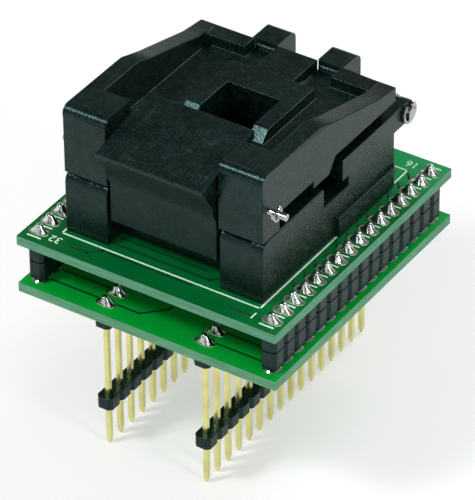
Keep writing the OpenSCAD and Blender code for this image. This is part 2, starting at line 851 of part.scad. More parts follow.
// Small torsion spring on the latch pin; one leg rests on the lid's cross bar.
module latch_spring() color("#c8ccd0") {
    turns = floor((return_length - return_wire) / (return_wire * coil_lap));
    step = return_wire * coil_lap;
    first = -turns * step / 2;
    translate([0, pivot_y, pivot_z]) rotate([0, 90, 0]) rotate_extrude()
        for (k = [0:turns]) translate([return_radius, first + k * step])
            circle(d = return_wire, $fn = 16);
    translate([first, pivot_y, pivot_z - return_radius]) rotate([-90, 0, 0])
        cylinder(d = return_wire, h = leg_rear - pivot_y, $fn = 16);
    translate([-first, pivot_y + return_radius, pivot_z])
        cylinder(d = return_wire, h = spring_bay, $fn = 16);
}

lower_board();
upper_board();
lower_strip_left();
lower_strip_right();
upper_strip_left();
upper_strip_right();
board_pins_left();
board_pins_right();
upper_solder_left();
upper_solder_right();
lower_solder_left();
lower_solder_right();
dip_pins_left();
dip_pins_right();
dip_collar_left();
dip_collar_right();
dip_spacer_left();
dip_spacer_right();
dip_solder_left();
dip_solder_right();
socket_base();
contacts_front();
contacts_rear();
contacts_left();
contacts_right();
socket_solder();
hinge_pin();
hinge_clips();
hinge_spring_left();
hinge_spring_right();
lid();
latch();
latch_pin();
latch_clip();
latch_spring();
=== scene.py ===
"""Dresses the clamshell socket adapter and sets up its studio, lamps and camera."""

import logging
import math
import random
from dataclasses import dataclass
from enum import Enum
from typing import Any, Optional, Sequence, Union

import bmesh
import bpy
from mathutils import Matrix, Vector
from mathutils.geometry import intersect_point_line


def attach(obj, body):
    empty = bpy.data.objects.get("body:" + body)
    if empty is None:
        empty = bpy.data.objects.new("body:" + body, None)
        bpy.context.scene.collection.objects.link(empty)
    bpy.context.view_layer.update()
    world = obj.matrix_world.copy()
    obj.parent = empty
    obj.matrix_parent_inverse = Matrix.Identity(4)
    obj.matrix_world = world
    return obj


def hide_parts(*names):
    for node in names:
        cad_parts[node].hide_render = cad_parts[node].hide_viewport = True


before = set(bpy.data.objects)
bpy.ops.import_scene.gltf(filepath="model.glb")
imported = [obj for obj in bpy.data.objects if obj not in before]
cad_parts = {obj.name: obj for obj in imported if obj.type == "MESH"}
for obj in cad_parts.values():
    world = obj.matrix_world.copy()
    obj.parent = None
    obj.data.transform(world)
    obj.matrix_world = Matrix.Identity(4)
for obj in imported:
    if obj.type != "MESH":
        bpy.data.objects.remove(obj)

MM = 0.001
WELD = 0.0008  # mm between points that are one
FLAT = 0.8  # degrees between faces that are one
RUN_ON = 0.94  # cosine between edges that carry on
ROUNDING_ROOM = 1.5  # free width that a rounding needs, in roundings
log = logging.getLogger("socket_adapter")

Colour = tuple[float, float, float]
Number = Union[int, float]


class Side(Enum):
    """Which of a mirrored pair a piece belongs to."""

    LEFT = -1
    RIGHT = 1

    @property
    def tag(self) -> str:
        """The word that ends the names of this side's nodes."""
        return self.name.lower()


class Body(Enum):
    """The rigid bodies that pieces ride on."""

    ROOT = "root"
    LID = "lid_body"
    LATCH = "latch_body"


# ---- shader maths ----


class Wire:
    """A shader output whose operators add Math nodes."""

    def __init__(self, nodes: "Nodes", socket: Any) -> None:
        """Keeps the socket and the tree it belongs to.

        Args:
            nodes: what adds nodes to the tree.
            socket: the output.
        """
        self.nodes = nodes
        self.socket = socket

    def _math(self, operation: str, *terms: Any) -> "Wire":
        """Adds one Math node.

        Args:
            operation: the node's operation.
            terms: wires or numbers for its inputs.

        Returns:
            The node's result.
        """
        return self.nodes.node("ShaderNodeMath", {"operation": operation}, dict(enumerate(terms)))

    def __add__(self, other: Any) -> "Wire":
        """self + other."""
        return self._math("ADD", self, other)

    __radd__ = __add__

    def __sub__(self, other: Any) -> "Wire":
        """self - other."""
        return self._math("SUBTRACT", self, other)

    def __mul__(self, other: Any) -> "Wire":
        """self * other."""
        return self._math("MULTIPLY", self, other)

    def __abs__(self) -> "Wire":
        """Absolute value."""
        return self._math("ABSOLUTE", self)

    def __or__(self, other: Any) -> "Wire":
        """The larger of the two."""
        return self._math("MAXIMUM", self, other)

    def ramp(self, low: Number, high: Number, out_low: Number = 0, out_high: Number = 1) -> "Wire":
        """Maps low..high smoothly to out_low..out_high, clamped.

        Args:
            low: where the ramp starts.
            high: where it ends.
            out_low: value at and below the start.
            out_high: value at and above the end.

        Returns:
            The mapped value.
        """
        return self.nodes.node(
            "ShaderNodeMapRange",
            {"interpolation_type": "SMOOTHSTEP"},
            {"Value": self, "From Min": low, "From Max": high, "To Min": out_low, "To Max": out_high},
        )


class Nodes:
    """Adds nodes to one tree."""

    def __init__(self, tree: bpy.types.NodeTree) -> None:
        """Takes the tree and empties it.

        Args:
            tree: the tree.
        """
        self.tree = tree
        tree.nodes.clear()

    def node(
        self,
        kind: str,
        settings: Optional[dict[str, Any]] = None,
        inputs: Optional[dict[Any, Any]] = None,
        output: Union[int, str] = 0,
    ) -> Wire:
        """Adds a node, sets it up and feeds it.

        Args:
            kind: the node's type.
            settings: its properties, set before anything is linked.
            inputs: a wire, number or colour for each named or numbered input.
            output: which output to return.

        Returns:
            That output, or an empty wire where the node has none.
        """
        made = self.tree.nodes.new(kind)
        for key, value in (settings or {}).items():
            setattr(made, key, value)
        for key, value in (inputs or {}).items():
            self.feed(made.inputs[key], value)
        return Wire(self, made.outputs[output] if made.outputs else None)

    def feed(self, socket: Any, value: Any) -> None:
        """Links a wire to an input, or sets the input to a constant.

        Args:
            socket: the input.
            value: a wire, number or colour.
        """
        if isinstance(value, Wire):
            self.tree.links.new(value.socket, socket)
        elif isinstance(value, tuple) and len(value) == 3 and len(socket.default_value) == 4:
            socket.default_value = (*value, 1.0)
        else:
            socket.default_value = value

    def seen(self) -> Wire:
        """Tells rays that show the background: to the camera, in gloss and through glass.

        Returns:
            1 for such rays, otherwise 0.
        """
        camera, glossy, transmission = (
            self.node("ShaderNodeLightPath", output=f"Is {kind} Ray") for kind in ("Camera", "Glossy", "Transmission")
        )
        return camera | glossy | transmission


class Shader(Nodes):
    """Builds one node material round a Principled shader."""

    def __init__(self, name: str) -> None:
        """Makes the material called name.

        Args:
            name: what the material is called.
        """
        self.material = bpy.data.materials.new(name)
        self.material.use_nodes = True
        super().__init__(self.material.node_tree)
        self.surface = self.tree.nodes.new("ShaderNodeBsdfPrincipled")
        self.out = self.tree.nodes.new("ShaderNodeOutputMaterial")
        self.tree.links.new(self.surface.outputs[0], self.out.inputs["Surface"])

    def set(self, **values: Any) -> None:
        """Feeds the Principled shader; underscores in a name stand for spaces.

        Args:
            values: a wire, number or colour for each input.
        """
        for key, value in values.items():
            self.feed(self.surface.inputs[key.replace("_", " ")], value)

    def place(self) -> Wire:
        """Object coordinates."""
        return self.node("ShaderNodeTexCoord", output="Object")

    def stretched(self, scale: Sequence[Number], turn: Sequence[Number] = (0, 0, 0)) -> Wire:
        """Object coordinates scaled and turned.

        Args:
            scale: factor along each axis.
            turn: turn about each axis, in radians.

        Returns:
            The new coordinates.
        """
        return self.node(
            "ShaderNodeMapping", {}, {"Vector": self.place(), "Scale": tuple(scale), "Rotation": tuple(turn)}
        )

    def noise(self, scale: Number, detail: Number = 2, at: Optional[Wire] = None, rough: Number = 0.5) -> Wire:
        """Noise value.

        Args:
            scale: cells per metre.
            detail: octaves.
            at: coordinates, or None for Object coordinates.
            rough: weight of the finer octaves.

        Returns:
            A value about 0.5.
        """
        return self.node(
            "ShaderNodeTexNoise",
            {"noise_dimensions": "3D"},
            {"Vector": at or self.place(), "Scale": scale, "Detail": detail, "Roughness": rough},
        )

    def mix(self, share: Any, first: Any, second: Any) -> Wire:
        """Blends two colours.

        Args:
            share: how much of the second.
            first: colour or wire.
            second: colour or wire.

        Returns:
            The blend.
        """
        return self.node("ShaderNodeMix", {"data_type": "RGBA"}, {0: share, 6: first, 7: second}, output=2)

    def along(self, axis: str, vector: Optional[Wire] = None) -> Wire:
        """One part, X, Y or Z, of a vector wire, or of the Object coordinates.

        Args:
            axis: X, Y or Z.
            vector: the wire, or None for Object coordinates.

        Returns:
            That part.
        """
        return self.node("ShaderNodeSeparateXYZ", {}, {"Vector": vector or self.place()}, output=axis)

    def upward(self) -> Wire:
        """The surface normal's upward part."""
        return self.along("Z", self.node("ShaderNodeNewGeometry", output="Normal"))

    def bump(self, height: Wire, depth: Number, strength: Number = 1.0) -> None:
        """Feeds Normal from a height.

        Args:
            height: the height wire.
            depth: height of one unit, in metres.
            strength: how much of the bump is used.
        """
        self.set(Normal=self.node("ShaderNodeBump", {}, {"Height": height, "Distance": depth, "Strength": strength}))


# ---- finishes: noise scales are cells per metre, depths are mm ----


@dataclass(frozen=True)
class Moulding:
    """Black moulded plastic: speckled grain, tone that shifts over the surface, and scuffs on its top."""

    name: str
    roughness: float
    grain: float
    scuffing: float = 0.25
    black: Colour = (0.0005, 0.0030, 0.0026)
    grey: Colour = (0.0060, 0.0200, 0.0175)
    scuff: Colour = (0.032, 0.048, 0.043)
    tint: Colour = (0.52, 1.0, 0.94)
    gloss: float = 0.29
    cloud_scale: float = 170
    mottle_scale: float = 850
    pit_scale: float = 3600
    lump_scale: float = 1100

    def material(self) -> bpy.types.Material:
        """Builds the finish.

        Returns:
            Its material.
        """
        s = Shader(self.name)
        cloud = s.noise(self.cloud_scale, 3)
        mottle = s.noise(self.mottle_scale, 3, rough=0.6)
        pits = s.noise(self.pit_scale, 2, rough=0.6)
        lumps = s.noise(self.lump_scale, 2)
        facing = s.upward().ramp(0.35, 0.85)
        toned = s.mix(cloud.ramp(0.35, 0.72) * 0.3 + mottle.ramp(0.40, 0.68) * 0.4, self.black, self.grey)
        speckled = s.mix(pits.ramp(0.56, 0.72) * 0.42, toned, self.scuff)
        scratch = s.noise(1.0, 4, s.stretched((2600, 150, 400), (0, 0, 0.5)), 0.7).ramp(0.56, 0.70)
        crossing = s.noise(1.0, 4, s.stretched((150, 2300, 400), (0, 0, 0.25)), 0.7).ramp(0.58, 0.70)
        worn = (scratch + crossing) * cloud.ramp(0.36, 0.60) * facing * self.scuffing
        s.set(
            Base_Color=s.mix(worn, speckled, self.scuff),
            Roughness=self.roughness + (pits - 0.5) * 0.25 + worn * 0.2,
            Specular_IOR_Level=self.gloss,
            Specular_Tint=self.tint,
        )
        s.bump(pits + lumps * 0.3 + worn * 0.5, self.grain * MM, 0.8)
        return s.material


@dataclass(frozen=True)
class SolderMask:
    """Green coated board with a weave under the coat and pale cut edges; painted light makes it paler towards its
    rear.
    """

    name: str
    green: Colour
    deep: Colour
    cut_edge: Colour
    # paler green painted on the board's rear as light that falls there
    faded_ink_and_lit_board: Colour
    roughness: float = 0.34
    tint: Colour = (0.10, 1.0, 0.45)
    gloss: float = 0.30
    cloud_scale: float = 120
    dust_scale: float = 1500
    fibre_fine: float = 2200
    fibre_long: float = 500
    # where the painted rear light begins and where it is full, in mm along the board
    rear_light_start: float = 10
    rear_light_end: float = 20
    relief: float = 0.008

    def material(self) -> bpy.types.Material:
        """Builds the finish.

        Returns:
            Its material.
        """
        s = Shader(self.name)
        cloud = s.noise(self.cloud_scale, 3)
        # painted light: share of the paler green, rising towards the board's rear
        back = s.along("Y").ramp(self.rear_light_start * MM, self.rear_light_end * MM)
        warp = s.noise(1.0, 2, s.stretched((self.fibre_fine, self.fibre_long, self.fibre_long)))
        weave = warp + s.noise(1.0, 2, s.stretched((self.fibre_long, self.fibre_fine, self.fibre_long)))
        flat = abs(s.upward()).ramp(0.4, 0.6)
        face = s.mix(cloud.ramp(0.3, 0.7) * 0.45 + (weave * 0.5).ramp(0.4, 0.62) * 0.18, self.green, self.deep)
        # painted light: the rear of the board takes the paler green
        face = s.mix(back, face, self.faded_ink_and_lit_board)
        plies = s.noise(1.0, 3, s.stretched((240, 240, 3600)))
        side = s.mix(plies.ramp(0.35, 0.65) * 0.55, self.cut_edge, tuple(0.55 * c for c in self.cut_edge))
        s.set(
            Base_Color=s.mix(flat, side, face),
            Roughness=flat.ramp(0, 1, 0.7, self.roughness) + (cloud - 0.5) * 0.12,
            Specular_IOR_Level=self.gloss,
            Specular_Tint=self.tint,
        )
        s.bump(weave * 0.4 + s.noise(self.dust_scale, 2) * 0.3, self.relief * MM, 0.5)
        return s.material


@dataclass(frozen=True)
class Metal:
    """Plain or plated metal with slight tarnish and fine marks."""

    name: str
    bright: Colour
    dull: Colour
    roughness: float
    marks: Sequence[float] = (900, 900, 900)
    dent: float = 0.004
    tarnish_scale: float = 260

    def material(self) -> bpy.types.Material:
        """Builds the finish.

        Returns:
            Its material.
        """
        s = Shader(self.name)
        tarnish = s.noise(self.tarnish_scale, 3)
        marks = s.noise(1.0, 3, s.stretched(tuple(self.marks)))
        s.set(
            Base_Color=s.mix(tarnish.ramp(0.38, 0.75) * 0.6, self.bright, self.dull),
            Metallic=1.0,
            Roughness=self.roughness + (marks - 0.5) * 0.22 + tarnish.ramp(0.5, 0.8) * 0.1,
        )
        s.bump(marks, self.dent * MM, 0.6)
        return s.material


@dataclass(frozen=True)
class Ink:
    """Thin printed or etched layer on a board."""

    name: str
    colour: Colour
    faded_ink_and_lit_board: Colour
    roughness: float = 0.6
    patch_scale: float = 1800
    relief: float = 0.004

    def material(self) -> bpy.types.Material:
        """Builds the finish.

        Returns:
            Its material.
        """
        s = Shader(self.name)
        patches = s.noise(self.patch_scale, 3)
        s.set(Base_Color=s.mix(patches.ramp(0.52, 0.72) * 0.5, self.colour, self.faded_ink_and_lit_board), Roughness=self.roughness)
        s.bump(patches, self.relief * MM, 0.5)
        return s.material


class Palette:
    """Every finish on the object, built once."""

    def __init__(self) -> None:
        """Builds the materials."""
        self.upper_board = SolderMask(
            "upper_board_green",
            green=(0.0004, 0.136, 0.027),
            deep=(0.0003, 0.086, 0.017),
            cut_edge=(0.108, 0.285, 0.180),
            # paler green painted on the rear of the board as light
            faded_ink_and_lit_board=(0.022, 0.330, 0.100),
        ).material()
        self.lower_board = SolderMask(
            "lower_board_green",
            green=(0.0010, 0.350, 0.034),
            deep=(0.0008, 0.250, 0.026),
            cut_edge=(0.120, 0.305, 0.180),
            # paler green painted on the rear of the board as light
            faded_ink_and_lit_board=(0.012, 0.340, 0.060),
        ).material()
        self.housing = Moulding("socket_black", roughness=0.27, grain=0.034).material()
        self.finger = Moulding("latch_black", roughness=0.38, grain=0.085, scuffing=0.6).material()
        self.strip = Moulding("strip_black", roughness=0.30, grain=0.030, scuffing=0.1).material()
        self.gold = Metal("pin_gold", (0.80, 0.76, 0.32), (0.62, 0.54, 0.20), 0.24, (3000, 3000, 220)).material()
        self.contact = Metal("contact_gold", (0.85, 0.70, 0.36), (0.62, 0.47, 0.20), 0.24).material()
        self.solder = Metal("solder", (0.66, 0.72, 0.68), (0.03, 0.05, 0.04), 0.13, (700, 700, 700), 0.03).material()
        self.pad = Metal("tinned_pad", (0.50, 0.60, 0.38), (0.26, 0.34, 0.20), 0.30, (900, 900, 900)).material()
        self.steel = Metal("steel", (0.42, 0.44, 0.43), (0.14, 0.15, 0.15), 0.13, (300, 2000, 2000)).material()
        self.ink = Ink("board_ink", (0.66, 0.98, 0.76), (0.40, 0.72, 0.50)).material()
        self.track = Ink("board_track", (0.002, 0.050, 0.016), (0.002, 0.036, 0.014), 0.35).material()


# ---- mesh helpers ----


def settle(bm: bmesh.types.BMesh, name: str, material: bpy.types.Material, body: Body,
           smooth: Optional[float] = None, weighted: bool = False) -> bpy.types.Object:
    """Turns a bmesh into a finished piece at the origin.

    Args:
        bm: the mesh, in metres in the row frame; it is freed.
        name: the piece's name.
        material: its finish.
        body: what it rides on.
        smooth: angle in degrees up to which edges are shaded smooth, or None for flat.
        weighted: whether large faces keep their own normals beside small bevels.

    Returns:
        The piece.
    """
    mesh = bpy.data.meshes.new(name)
    bm.to_mesh(mesh)
    bm.free()
    mesh.materials.append(material)
    if smooth is not None:
        mesh.shade_smooth()
        mesh.set_sharp_from_angle(angle=math.radians(smooth))
    piece = bpy.data.objects.new(name, mesh)
    bpy.context.scene.collection.objects.link(piece)
    if weighted:
        modifier = piece.modifiers.new("weighted", "WEIGHTED_NORMAL")
        modifier.keep_sharp = True
        modifier.weight = 70
    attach(piece, body.value)
    return piece


def merged(node: str) -> bmesh.types.BMesh:
    """A welded copy of a CAD node with its flat faces joined.

    Args:
        node: the CAD node that is copied.

    Returns:
        The copy.
    """
    bm = bmesh.new()
    bm.from_mesh(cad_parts[node].data)
    bmesh.ops.remove_doubles(bm, verts=bm.verts, dist=WELD * MM)
    bmesh.ops.dissolve_limit(bm, angle_limit=math.radians(FLAT), verts=bm.verts, edges=bm.edges,
                             use_dissolve_boundaries=False)
    return bm


def runs_on(first: bmesh.types.BMEdge, second: bmesh.types.BMEdge) -> bool:
    """Whether one edge carries on in nearly the other's direction, as along a rounding.

    Args:
        first: one edge.
        second: the other edge.

    Returns:
        True where they are nearly in line.
    """
    ways = [(e.verts[1].co - e.verts[0].co).normalized() for e in (first, second)]
    return abs(ways[0].dot(ways[1])) > RUN_ON


def distance(spot: Vector, other: bmesh.types.BMEdge) -> float:
    """How far a point is from an edge.

    Args:
        spot: the point.
        other: the edge.

    Returns:
        The distance, in metres.
    """
    start, end = (v.co for v in other.verts)
    share = intersect_point_line(spot, start, end)[1]
    return (start.lerp(end, min(max(share, 0.0), 1.0)) - spot).length


def crowded(edge: bmesh.types.BMEdge, room: float) -> bool:
    """Whether another edge of the same face runs within room of this one, so that a rounding has no space.

    Args:
        edge: the edge to round.
        room: the space that it needs, in metres.

    Returns:
        True where the space is missing.
    """
    start, end = (v.co for v in edge.verts)
    spots = [start.lerp(end, share) for share in (0.0, 0.25, 0.5, 0.75, 1.0)]
    others = (e for face in edge.link_faces for e in face.edges if set(edge.verts).isdisjoint(e.verts))
    return any(distance(spot, other) < room for other in others for spot in spots)


def softened(node: str, material: bpy.types.Material, body: Body, edge: float,
             sharp: float = 38.0, segments: int = 2, shortest: float = 0.0) -> bpy.types.Object:
    """A CAD node with its sharp edges rounded as moulding leaves them.

    Args:
        node: the CAD node that the piece stands for.
        material: its finish.
        body: what it rides on.
        edge: width of the rounding, in mm.
        sharp: angle in degrees from which an edge is rounded.
        segments: steps across the rounding.
        shortest: edges below this length, in mm, stay sharp.

    Returns:
        The piece.
    """
    bm = merged(node)
    bm.edges.index_update()
    corners = (e for e in bm.edges if len(e.link_faces) == 2 and e.calc_face_angle(0) > math.radians(sharp))
    able = {e for e in corners if not crowded(e, ROUNDING_ROOM * edge * MM)}
    edges = {e for e in able if e.calc_length() >= shortest * MM}
    fresh = edges
    while fresh:
        fresh = {n for e in fresh for v in e.verts for n in v.link_edges if n in able - edges and runs_on(e, n)}
        edges = edges | fresh
    bmesh.ops.bevel(bm, geom=sorted(edges, key=lambda e: e.index), offset=edge * MM, offset_type="OFFSET",
                    segments=segments, profile=0.5, affect="EDGES", clamp_overlap=False, material=-1)
    piece = settle(bm, f"{node}_look", material, body, smooth=40, weighted=True)
    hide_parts(node)
    log.info("%s: %d faces", piece.name, len(piece.data.polygons))
    return piece


def turned(node: str, material: bpy.types.Material, body: Body) -> bpy.types.Object:
    """A CAD node with its round faces shaded smooth.

    Args:
        node: the CAD node that the piece stands for.
        material: its finish.
        body: what it rides on.

    Returns:
        The piece.
    """
    piece = settle(merged(node), f"{node}_look", material, body, smooth=32)
    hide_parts(node)
    return piece


def dressed(node: str, material: bpy.types.Material) -> None:
    """Gives a CAD node its finish.

    Args:
        node: the CAD node.
        material: its finish.
    """
    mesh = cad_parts[node].data
    mesh.materials.clear()
    mesh.materials.append(material)


def stroke(bm: bmesh.types.BMesh, start: Vector, end: Vector, width: float, height: float) -> None:
    """Adds a flat printed line with square ends.

    Args:
        bm: the mesh it joins.
        start: centre of one end, on the board, in mm.
        end: centre of the other end, in mm.
        width: its width, in mm.
        height: its thickness, in mm.
    """
    run = end - start
    turn = Matrix.Rotation(math.atan2(run.y, run.x), 4, "Z")
    grow = Matrix.Diagonal((run.length + width, width, height, 1))
    middle = Matrix.Translation((start + end) / 2 + Vector((0, 0, height / 2)))
    bmesh.ops.create_cube(bm, size=1, matrix=Matrix.Scale(MM, 4) @ middle @ turn @ grow)


# ---- boards ----


@dataclass(frozen=True)
class Layout:
    """What the boards and the pin rows share; sizes in mm."""

    upper_top: float = 30.2
    lower_top: float = 22.8
    pitch: float = 2.54
    pins: int = 16

    def spot(self, pin: float) -> float:
        """How far a pin, counted from 0, is behind the middle of its row.

        Args:
            pin: which pin; halves lie between two pins.

        Returns:
            The distance, in mm.
        """
        return (pin - (self.pins - 1) / 2) * self.pitch


@dataclass
class Boards:
    """Both boards with their print and tracks; sizes in mm."""

    layout: Layout = Layout()
    frame_half: float = 15.1
    frame_front: float = -17.7
    frame_rear: float = 17.9
    line: float = 0.24
    print_height: float = 0.03
    mark_inner: float = 16.75
    mark_outer: float = 18.65
    number_size: float = 1.85
    track: float = 0.34
    track_height: float = 0.018
    track_turn: float = 15.45
    track_end: float = 17.2
    track_slant: float = 0.75

    def build(self, looks: Palette) -> None:
        """Dresses the boards and adds print, numbers and tracks.

        Args:
            looks: the finishes.
        """
        dressed("upper_board", looks.upper_board)
        dressed("lower_board", looks.lower_board)
        self.print_lines(looks)
        self.numbers(looks)
        self.tracks(looks)

    def print_lines(self, looks: Palette) -> bpy.types.Object:
        """Prints the outline round the socket and a bar between neighbouring pins.

        Args:
            looks: the finishes.

        Returns:
            The print.
        """
        bm = bmesh.new()
        z = self.layout.upper_top
        left, right = -self.frame_half, self.frame_half
        corners = [Vector((left, self.frame_front, z)), Vector((right, self.frame_front, z)),
                   Vector((right, self.frame_rear, z)), Vector((left, self.frame_rear, z))]
        for a, b in zip(corners, corners[1:] + corners[:1]):
            stroke(bm, a, b, self.line, self.print_height)
        for k in range(self.layout.pins + 1):
            y = self.layout.spot(k - 0.5)
            for side in Side:
                stroke(bm, Vector((side.value * self.mark_inner, y, z)), Vector((side.value * self.mark_outer, y, z)),
                       self.line, self.print_height)
        piece = settle(bm, "board_print", looks.ink, Body.ROOT)
        log.info("print: %d strokes", len(piece.data.polygons) // 6)
        return piece

    def numbers(self, looks: Palette) -> None:
        """Prints the number of each corner pin, read from the rear.

        Args:
            looks: the finishes.
        """
        spots = {"1": (15.2, -19.3), "32": (-15.0, -19.35), "16": (14.9, 19.45), "17": (-15.2, 19.45)}
        for word, (x, y) in spots.items():
            curve = bpy.data.curves.new(f"number_{word}", "FONT")
            curve.body = word
            curve.size = self.number_size * MM
            curve.align_x = "CENTER"
            curve.align_y = "CENTER"
            curve.extrude = self.print_height / 2 * MM
            curve.resolution_u = 3
            holder = bpy.data.objects.new(f"number_{word}", curve)
            bpy.context.scene.collection.objects.link(holder)
            mesh = bpy.data.meshes.new_from_object(holder)
            bpy.data.objects.remove(holder)
            where = Matrix.Translation(Vector((x, y, self.layout.upper_top + self.print_height / 2)) * MM)
            mesh.transform(where @ Matrix.Rotation(math.pi, 4, "Z"))
            bm = bmesh.new()
            bm.from_mesh(mesh)
            settle(bm, f"number_{word}_print", looks.ink, Body.ROOT)

    def tracks(self, looks: Palette) -> None:
        """Lays the copper tracks that show through the coat of both boards.

        Args:
            looks: the finishes.
        """
        low = bmesh.new()
        for points in (
            [(-17.0, -16.1), (-9.0, -16.1)], [(8.5, -16.1), (17.0, -16.1)],
            [(-17.0, -18.6), (-9.0, -18.6)], [(9.0, -18.6), (17.0, -18.6)],
            [(-6.5, -18.6), (-2.7, -18.6), (0.0, -15.9), (0.0, 14.0)],
        ):
            self.run(low, points, self.layout.lower_top)
        settle(low, "lower_board_tracks", looks.track, Body.ROOT)
        high = bmesh.new()
        for points in (
            [(-9.5, -16.1), (6.5, -16.1), (8.4, -14.2)], [(-8.0, -14.6), (5.0, -14.6)],
            [(12.0, -19.6), (16.6, -19.6)], [(-12.5, -19.6), (-10.0, -19.6), (-8.6, -18.2), (5.0, -18.2)],
        ):
            self.run(high, points, self.layout.upper_top)
        for k in range(3, self.layout.pins - 1):
            y = self.layout.spot(k)
            bend = (self.track_turn + self.track_slant, y)
            points = [(self.track_turn, y + 1.2 * self.track_slant), bend, (self.track_end, y)]
            self.run(high, points, self.layout.upper_top)
        settle(high, "upper_board_tracks", looks.track, Body.ROOT)

    def run(self, bm: bmesh.types.BMesh, points: Sequence[tuple[float, float]], z: float) -> None:
        """Adds one track through the points.

        Args:
            bm: the mesh it joins.
            points: corners of the track, in mm.
            z: height of the board, in mm.
        """
        places = [Vector((x, y, z)) for x, y in points]
        for a, b in zip(places, places[1:]):
            stroke(bm, a, b, self.track, self.track_height)


# ---- pin rows ----


@dataclass
class PinRows:
    """Strips, pins and solder joints of all rows; sizes in mm."""

    layout: Layout = Layout()
    join_x: float = 17.78
    dip_x: float = 7.62
    joint_radius: float = 0.92
    joint_neck: float = 0.46
    joint_height: float = 1.35
    joint_hollow: float = 1.25
    joint_longer: float = 0.42
    joint_narrower: float = 0.16
    joint_lean: float = 0.10
    pad_length: float = 3.0
    pad_width: float = 1.6
    pad_height: float = 0.06
    strip_edge: float = 0.07

    def build(self, looks: Palette) -> None:
        """Dresses every strip, pin and joint.

        Args:
            looks: the finishes.
        """
        luck = random.Random(11)
        for side in Side:
            for node in ("lower_strip", "upper_strip", "dip_collar", "dip_spacer"):
                softened(f"{node}_{side.tag}", looks.strip, Body.ROOT, self.strip_edge)
            for node in ("board_pins", "dip_pins"):
                dressed(f"{node}_{side.tag}", looks.gold)
            dressed(f"lower_solder_{side.tag}", looks.solder)
            self.joints(looks, luck, side, "upper_solder", self.join_x, self.layout.upper_top)
            self.joints(looks, luck, side, "dip_solder", self.dip_x, self.layout.lower_top)

    def joints(self, looks: Palette, luck: random.Random, side: Side, node: str, x: float, z: float) -> None:
        """Spins the solder joints of one row, each a little different, on long tinned pads.

        Args:
            looks: the finishes.
            luck: seeded chance.
            side: which row of the pair.
            node: the CAD nodes' name without its side.
            x: distance of the row from the middle.
            z: height of the board that carries the joints.
        """
        bm, pads = bmesh.new(), bmesh.new()
        for k in range(self.layout.pins):
            foot = Vector((side.value * x, self.layout.spot(k), z))
            self.joint(bm, luck, foot)
            self.pad(pads, foot)
        piece = settle(bm, f"{node}_{side.tag}_look", looks.solder, Body.ROOT, smooth=70)
        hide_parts(f"{node}_{side.tag}")
        settle(pads, f"{node}_{side.tag}_pads", looks.pad, Body.ROOT)

    def joint(self, bm: bmesh.types.BMesh, luck: random.Random, foot: Vector) -> None:
        """Spins one joint: a cone that is longer than wide at its foot, with a domed end.

        Args:
            bm: the mesh it joins.
            luck: seeded chance.
            foot: centre of its foot, in mm.
        """
        height = self.joint_height * luck.uniform(0.88, 1.0)
        neck = self.joint_neck * luck.uniform(0.9, 1.1)
        most = self.joint_lean
        lean = Vector((luck.uniform(-most, most), luck.uniform(-most, most), 0))
        outline = [(neck + (self.joint_radius - neck) * (1 - t) ** self.joint_hollow, height * 0.84 * t)
                   for t in (0, 0.12, 0.3, 0.5, 0.75, 1)]
        outline += [(neck * 0.80, height * 0.94), (neck * 0.42, height), (0, height)]
        chain = [bm.verts.new((radius * MM, 0, rise * MM)) for radius, rise in outline]
        edges = [bm.edges.new(pair) for pair in zip(chain, chain[1:])]
        bmesh.ops.spin(bm, geom=chain + edges, cent=(0, 0, 0), axis=(0, 0, 1), angle=math.tau, steps=14,
                       use_merge=True)
        size = (self.joint_radius + self.joint_height) * MM
        bmesh.ops.remove_doubles(bm, verts=[v for v in bm.verts if v.co.length < size], dist=0.004 * MM)
        for v in (v for v in bm.verts if v.co.length < size):
            spread = (1 - v.co.z / (height * MM)) ** 2
            v.co.x *= 1 + self.joint_longer * spread
            v.co.y *= 1 - self.joint_narrower * spread
            v.co += lean * v.co.z / height + foot * MM

    def pad(self, bm: bmesh.types.BMesh, foot: Vector) -> None:
        """Lays one long pad with round ends.

        Args:
            bm: the mesh it joins.
            foot: its centre on the board, in mm.
        """
        radius, reach = self.pad_width / 2, (self.pad_length - self.pad_width) / 2
        made = bmesh.ops.create_cone(bm, cap_ends=True, segments=20, radius1=radius * MM, radius2=radius * 0.94 * MM,
                                     depth=self.pad_height * MM)
        for v in made["verts"]:
            v.co.x += math.copysign(reach * MM, v.co.x) if abs(v.co.x) > 1e-7 else 0
            v.co += (foot + Vector((0, 0, self.pad_height / 2))) * MM


# ---- socket ----


@dataclass
class Socket:
    """The moulded base and its contacts; sizes in mm."""

    edge: float = 0.13

    def build(self, looks: Palette) -> None:
        """Dresses the base and the contacts.

        Args:
            looks: the finishes.
        """
        softened("socket_base", looks.housing, Body.ROOT, self.edge, shortest=1.4)
        for edge in ("front", "rear", "left", "right"):
            dressed(f"contacts_{edge}", looks.contact)
        dressed("socket_solder", looks.solder)


